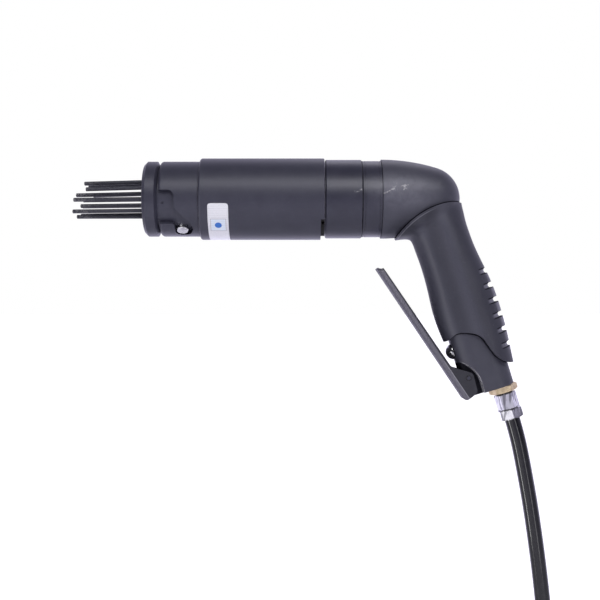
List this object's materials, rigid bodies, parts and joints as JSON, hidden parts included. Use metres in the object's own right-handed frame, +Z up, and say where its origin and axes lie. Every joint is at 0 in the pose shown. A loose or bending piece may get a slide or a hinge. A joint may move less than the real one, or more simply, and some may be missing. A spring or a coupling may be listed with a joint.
{
  "type": "pneumatic needle scaler",
  "caption": "Pistol-grip pneumatic needle scaler: bayonet nose with a bundle of steel needles, round barrel, moulded grip, lever throttle and a short air hose ending in a quick plug.",
  "frame": {"origin": "middle of the hand grip, on the handle's own line and on the tool's middle plane", "axes": "+X back along the barrel, away from the needles; +Y to the side away from the pictured one; +Z up, square to the barrel"},
  "size_m": [0.3657, 0.0608, 0.5159],
  "materials": {
    "black_steel": "satin black coating",
    "black_casting": "black anodised casting",
    "black_moulding": "matt moulded plastic",
    "lever_coat": "satin dark coating",
    "needle_steel": "dark drawn steel",
    "pin_steel": "ground steel",
    "inner_steel": "machined steel",
    "spring_steel": "spring steel",
    "bearing_brass": "turned brass",
    "tan_brass": "dull brass",
    "bright_chrome": "bright plating",
    "hose_rubber": "smooth rubber",
    "seal_rubber": "rubber",
    "felt": "pressed felt",
    "button_black": "gloss black"
  },
  "bodies": {
    "handle": {"handle_casting": "black_casting", "grip_sleeve": "black_moulding", "coupling_ring": "black_steel", "casing_ring": "black_steel", "main_sleeve": "black_steel", "lock_sleeve": "black_steel", "cylinder": "inner_steel", "anvil_bush": "bearing_brass", "front_o_ring": "seal_rubber", "silencer_felt": "felt", "valve_seat": "inner_steel", "valve_cover": "inner_steel", "rear_o_ring": "seal_rubber", "rear_buffer": "seal_rubber", "anvil_spring": "spring_steel", "lever_pin": "black_steel", "button_bush": "bearing_brass", "button_o_ring": "seal_rubber", "throttle_seat": "inner_steel", "throttle_spring": "spring_steel", "inlet_strainer": "bearing_brass", "inlet_bush": "tan_brass", "inlet_seal": "seal_rubber", "hose_nipple": "bright_chrome", "hose_nut": "bright_chrome", "air_hose": "hose_rubber", "hose_end_ferrule": "bright_chrome", "hose_plug": "bright_chrome"},
    "nose": {"nose_tube": "black_steel", "bayonet_pin_near": "pin_steel", "bayonet_pin_far": "pin_steel", "needle_guide": "inner_steel", "needle_holder": "inner_steel", "holder_circlip": "spring_steel"},
    "striker": {"anvil": "inner_steel"},
    "piston": {"piston": "inner_steel"},
    "valve_flap": {"valve_disc": "inner_steel"},
    "lever": {"trigger_lever": "lever_coat", "lever_pad": "lever_coat"},
    "throttle": {"valve_button": "button_black", "throttle_poppet": "inner_steel"},
    "needle_01": {"needle_01": "needle_steel"},
    "needle_02": {"needle_02": "needle_steel"},
    "needle_03": {"needle_03": "needle_steel"},
    "needle_04": {"needle_04": "needle_steel"},
    "needle_05": {"needle_05": "needle_steel"},
    "needle_06": {"needle_06": "needle_steel"},
    "needle_07": {"needle_07": "needle_steel"},
    "needle_08": {"needle_08": "needle_steel"},
    "needle_09": {"needle_09": "needle_steel"},
    "needle_10": {"needle_10": "needle_steel"},
    "needle_11": {"needle_11": "needle_steel"},
    "needle_12": {"needle_12": "needle_steel"}
  },
  "joints": [
    {"name": "nose_twist", "type": "hinge", "parent": "handle", "child": "nose", "pos_m": [-0.2, 0, 0.068], "axis": [-1, 0, 0], "range_deg": [0, 18]},
    {"name": "anvil_blow", "type": "slide", "parent": "handle", "child": "striker", "axis": [-1, 0, 0], "range_m": [0, 0.004], "stiffness_N_per_m": 2000, "springref_m": -0.002, "deforming": ["anvil_spring"]},
    {"name": "piston_stroke", "type": "slide", "parent": "handle", "child": "piston", "axis": [-1, 0, 0], "range_m": [0, 0.017]},
    {"name": "flap_lift", "type": "slide", "parent": "handle", "child": "valve_flap", "axis": [1, 0, 0], "range_m": [0, 0.0008]},
    {"name": "lever_squeeze", "type": "hinge", "parent": "handle", "child": "lever", "pos_m": [0.00488, 0, -0.06522], "axis": [0, 1, 0], "range_deg": [0, 13.5], "stiffness_Nm_per_rad": 0.8, "springref_deg": -8.59},
    {"name": "button_press", "type": "slide", "parent": "handle", "child": "throttle", "axis": [0.9563, 0, 0.2924], "range_m": [0, 0.0014], "stiffness_N_per_m": 600, "springref_m": -0.003, "deforming": ["throttle_spring"]},
    {"name": "needle_01_slide", "type": "slide", "parent": "nose", "child": "needle_01", "axis": [-1, 0, -0.0017], "range_m": [-0.0125, 0.0015]},
    {"name": "needle_02_slide", "type": "slide", "parent": "nose", "child": "needle_02", "axis": [-0.9999, 0, -0.0122], "range_m": [-0.014, 0]},
    {"name": "needle_03_slide", "type": "slide", "parent": "nose", "child": "needle_03", "axis": [-0.9999, 0, -0.0122], "range_m": [-0.0126, 0.0014]},
    {"name": "needle_04_slide", "type": "slide", "parent": "nose", "child": "needle_04", "axis": [-0.9996, 0, -0.0279], "range_m": [-0.004, 0.01]},
    {"name": "needle_05_slide", "type": "slide", "parent": "nose", "child": "needle_05", "axis": [-0.9996, 0, -0.0279], "range_m": [-0.0066, 0.0074]},
    {"name": "needle_06_slide", "type": "slide", "parent": "nose", "child": "needle_06", "axis": [-0.9996, 0, -0.0279], "range_m": [-0.0053, 0.0087]},
    {"name": "needle_07_slide", "type": "slide", "parent": "nose", "child": "needle_07", "axis": [-0.9996, 0, -0.0279], "range_m": [-0.003, 0.011]},
    {"name": "needle_08_slide", "type": "slide", "parent": "nose", "child": "needle_08", "axis": [-0.9999, 0, -0.0122], "range_m": [-0.0113, 0.0027]},
    {"name": "needle_09_slide", "type": "slide", "parent": "nose", "child": "needle_09", "axis": [-0.9999, 0, -0.0122], "range_m": [-0.0113, 0.0027]},
    {"name": "needle_10_slide", "type": "slide", "parent": "nose", "child": "needle_10", "axis": [-0.9997, 0, -0.0244], "range_m": [-0.0128, 0.0012]},
    {"name": "needle_11_slide", "type": "slide", "parent": "nose", "child": "needle_11", "axis": [-0.9999, 0, -0.014], "range_m": [-0.0092, 0.0048]},
    {"name": "needle_12_slide", "type": "slide", "parent": "nose", "child": "needle_12", "axis": [-0.9999, 0, -0.014], "range_m": [-0.0096, 0.0044]}
  ],
  "couplings": [
    {"joint": "button_press", "follows": "lever_squeeze", "m_per_rad": 0.00594}
  ]
}
